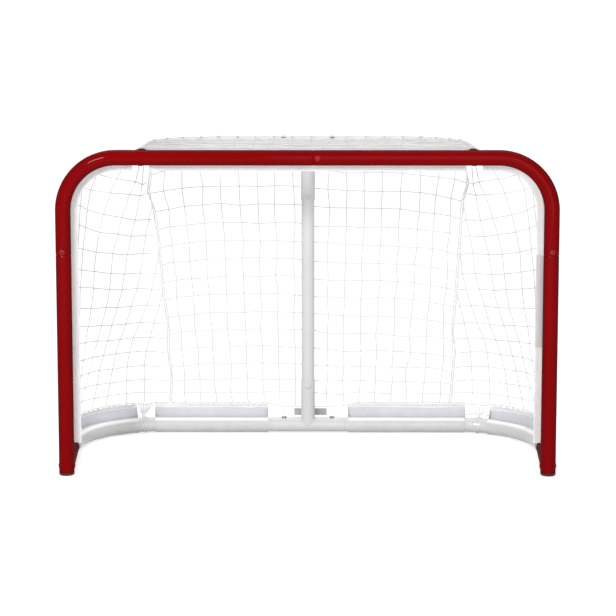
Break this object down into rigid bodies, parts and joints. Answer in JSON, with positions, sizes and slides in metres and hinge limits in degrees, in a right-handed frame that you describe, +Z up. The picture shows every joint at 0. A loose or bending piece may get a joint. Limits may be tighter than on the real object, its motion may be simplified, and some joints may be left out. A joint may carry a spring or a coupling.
{
  "type": "hockey goal",
  "caption": "Mini street hockey goal: bolted round tube frame with curved corners, a net bag laced over it and cloth sleeves round the floor tube.",
  "frame": {"origin": "on the floor, under the middle of the bounding box", "axes": "+Z up, the goal mouth faces -Y, +X runs along the crossbar to the right as seen from the front"},
  "size_m": [0.9982, 0.373, 0.6429],
  "materials": {
    "red_paint": "gloss",
    "white_paint": "gloss",
    "black_plastic": "moulded",
    "red_steel": "gloss",
    "bare_steel": "zinc plated",
    "white_cord": "knotless cord",
    "white_fabric": "woven",
    "grey_fabric": "hook tape"
  },
  "bodies": {
    "root": {"post_left": "red_paint", "post_right": "red_paint", "corner_left": "red_paint", "corner_right": "red_paint", "foot_cap_left": "black_plastic", "foot_cap_right": "black_plastic", "base_tube_left": "white_paint", "base_tube_right": "white_paint", "base_tee": "white_paint", "centre_post": "white_paint", "top_tee": "white_paint", "top_tube_left": "white_paint", "top_tube_right": "white_paint", "net_back": "white_cord", "net_top": "white_cord", "net_left": "white_cord", "net_right": "white_cord", "seam_cord_left": "white_cord", "seam_cord_right": "white_cord", "hem_left": "white_fabric", "hem_right": "white_fabric", "hem_top": "white_fabric", "side_sleeve_left": "white_fabric", "side_sleeve_right": "white_fabric", "back_sleeve_left": "white_fabric", "back_sleeve_right": "white_fabric", "centre_tab": "grey_fabric", "post_flap": "grey_fabric", "screw_crossbar": "red_steel", "screw_post_left": "red_steel", "screw_post_right": "red_steel", "screw_base_socket_left": "red_steel", "screw_base_socket_right": "red_steel", "screw_top_socket_left": "red_steel", "screw_top_socket_right": "red_steel", "screw_base_tee_left": "bare_steel", "screw_base_tee_right": "bare_steel", "screw_base_tee_stub": "bare_steel", "screw_top_tee_left": "bare_steel", "screw_top_tee_right": "bare_steel", "screw_top_tee_stub": "bare_steel"}
  },
  "joints": []
}
